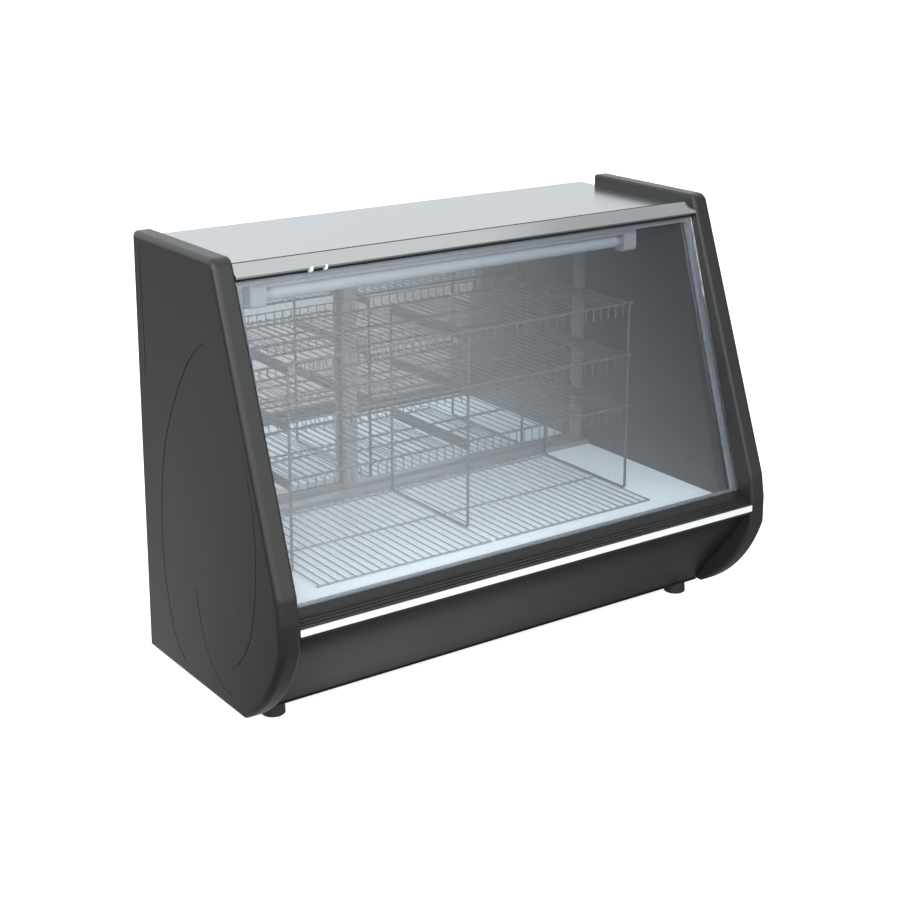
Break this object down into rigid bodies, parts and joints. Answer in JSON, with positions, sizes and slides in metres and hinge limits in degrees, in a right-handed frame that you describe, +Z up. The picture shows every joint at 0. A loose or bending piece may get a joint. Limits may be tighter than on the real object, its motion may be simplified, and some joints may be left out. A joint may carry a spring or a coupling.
{
  "type": "counter-top display fridge",
  "caption": "Counter-top display fridge with a sloping double-glazed front, moulded end panels, wire racks and mirrored sliding rear doors",
  "frame": {"origin": "on the counter, under the middle of the case's bounding box", "axes": "X along the counter, to the right for someone facing the glass; -Y towards the customer; +Z up"},
  "size_m": [1.2, 0.6, 0.892],
  "materials": {
    "panel_plastic": "moulded satin black-grey plastic, smooth, glossier on its rounded rims",
    "liner_grey": "smooth dark grey laminated liner",
    "stainless_top": "fine brushed stainless steel",
    "foam": "rigid insulating foam",
    "ceiling_white": "pale blue-white coated sheet",
    "bright_trim": "satin anodised aluminium",
    "front_glass": "clear flat glass with a faint cold tint",
    "black_seal": "black moulded plastic and sealant",
    "skirt_paint": "dark grey satin powder coat",
    "chassis_steel": "galvanised sheet",
    "wire_grey": "grey plastic-coated steel wire",
    "lamp_body": "white moulded plastic",
    "lamp_tube": "opal white tube",
    "door_aluminium": "grey anodised aluminium",
    "door_mirror": "silvered mirror glass",
    "black_plastic": "black moulded plastic",
    "nylon": "natural nylon",
    "compressor_paint": "black enamel",
    "coil_metal": "bare finned metal",
    "copper": "bare drawn copper",
    "service_steel": "grey powder-coated sheet",
    "rocker_plastic": "glossy black plastic",
    "screw_steel": "zinc-plated steel",
    "foot_rubber": "black rubber"
  },
  "bodies": {
    "case": {"base_chassis": "chassis_steel", "ceiling_sheet": "ceiling_white", "compressor_foot_plate": "chassis_steel", "compressor_shell": "compressor_paint", "condenser_coil": "coil_metal", "control_plate": "service_steel", "deck_grid_left": "wire_grey", "deck_grid_right": "wire_grey", "discharge_pipe": "copper", "display_deck": "ceiling_white", "end_panel_left": "panel_plastic", "end_panel_right": "panel_plastic", "evaporator_coil": "coil_metal", "fan_motor": "compressor_paint", "fan_shroud": "chassis_steel", "feet": "foot_rubber", "front_glass_inner": "front_glass", "front_glass_outer": "front_glass", "front_skirt": "skirt_paint", "glass_ledge": "black_seal", "glass_sealant": "black_seal", "glass_spacer": "bright_trim", "inner_wall_left": "liner_grey", "inner_wall_right": "liner_grey", "insulated_tub": "foam", "lamp_batten": "lamp_body", "lamp_tube": "lamp_tube", "lampholders": "lamp_body", "power_inlet": "black_plastic", "rack_frame_centre": "wire_grey", "rack_frame_left": "wire_grey", "rack_frame_right": "wire_grey", "rear_bottom_track": "door_aluminium", "rear_post_left": "door_aluminium", "rear_post_right": "door_aluminium", "rear_top_track": "door_aluminium", "service_panel": "service_steel", "service_screws": "screw_steel", "suction_pipe": "copper", "switch_housing": "black_plastic", "thermostat_body": "black_plastic", "top_fascia": "bright_trim", "top_insulation": "foam", "top_plate": "stainless_top", "trim_strip": "bright_trim", "wire_shelf_lower": "wire_grey", "wire_shelf_middle": "wire_grey", "wire_shelf_upper": "wire_grey"},
    "door_left": {"door_left_finger_pull": "black_plastic", "door_left_frame": "door_aluminium", "door_left_glides": "nylon", "door_left_mirror": "door_mirror"},
    "door_right": {"door_right_finger_pull": "black_plastic", "door_right_frame": "door_aluminium", "door_right_glides": "nylon", "door_right_mirror": "door_mirror"},
    "fan": {"fan_wheel": "black_plastic"},
    "knob": {"thermostat_knob": "black_plastic"},
    "power_switch": {"power_rocker": "rocker_plastic"},
    "lamp_switch": {"lamp_rocker": "rocker_plastic"}
  },
  "joints": [
    {"name": "door_left_slide", "type": "slide", "parent": "case", "child": "door_left", "axis": [1, 0, 0], "range_m": [0, 0.424]},
    {"name": "door_right_slide", "type": "slide", "parent": "case", "child": "door_right", "axis": [1, 0, 0], "range_m": [-0.424, 0]},
    {"name": "fan_spin", "type": "hinge", "parent": "case", "child": "fan", "pos_m": [-0.09, 0.152, 0.105], "axis": [0, 1, 0], "continuous": true},
    {"name": "knob_turn", "type": "hinge", "parent": "case", "child": "knob", "pos_m": [0.345, 0.2855, 0.128], "axis": [0, -1, 0], "range_deg": [0, 270]},
    {"name": "power_rocker_tilt", "type": "hinge", "parent": "case", "child": "power_switch", "pos_m": [0.412, 0.2695, 0.148], "axis": [1, 0, 0], "range_deg": [0, 16]},
    {"name": "lamp_rocker_tilt", "type": "hinge", "parent": "case", "child": "lamp_switch", "pos_m": [0.446, 0.2695, 0.148], "axis": [1, 0, 0], "range_deg": [0, 16]}
  ]
}
